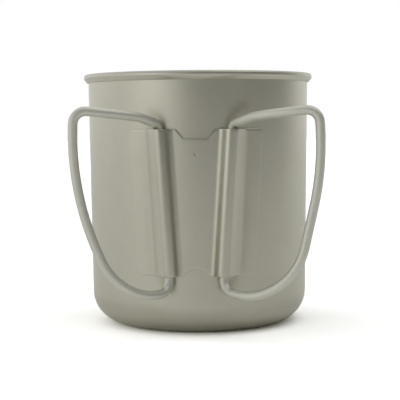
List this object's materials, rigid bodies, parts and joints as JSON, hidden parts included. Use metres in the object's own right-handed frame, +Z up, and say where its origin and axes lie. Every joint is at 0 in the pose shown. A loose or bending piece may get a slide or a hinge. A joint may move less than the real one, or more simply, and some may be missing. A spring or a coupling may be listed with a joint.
{
  "type": "camping mug",
  "caption": "Single-wall metal camping mug with a rolled lip, a welded hinge bracket and folding wire handles that swing back against the wall or forward together as a grip.",
  "frame": {"origin": "middle of the base's underside, on the surface that the mug stands on", "axes": "+Z up the mug's axis; the hinge bracket faces -Y; the left handle, as seen from the bracket's side, is at -X and the right handle at +X"},
  "size_m": [0.0839, 0.0996, 0.09],
  "materials": {
    "cup_sheet": "bare titanium sheet, deep drawn and fine bead-blasted to a soft warm grey",
    "bracket_sheet": "bare titanium sheet, stamped and bead-blasted, a little smoother on the channels' crests",
    "handle_wire": "bare drawn titanium wire, satin"
  },
  "bodies": {
    "mug": {"mug_body": "cup_sheet", "handle_bracket": "bracket_sheet"},
    "left_handle": {"left_handle": "handle_wire"},
    "right_handle": {"right_handle": "handle_wire"}
  },
  "joints": [
    {"name": "left_handle_hinge", "type": "hinge", "parent": "mug", "child": "left_handle", "pos_m": [-0.01075, -0.03995, 0.0456], "axis": [-0.0623, 0.0048, 0.998], "range_deg": [-64, 70]},
    {"name": "right_handle_hinge", "type": "hinge", "parent": "mug", "child": "right_handle", "pos_m": [0.01075, -0.03995, 0.0456], "axis": [-0.0623, -0.0048, -0.998], "range_deg": [-59, 75]}
  ]
}
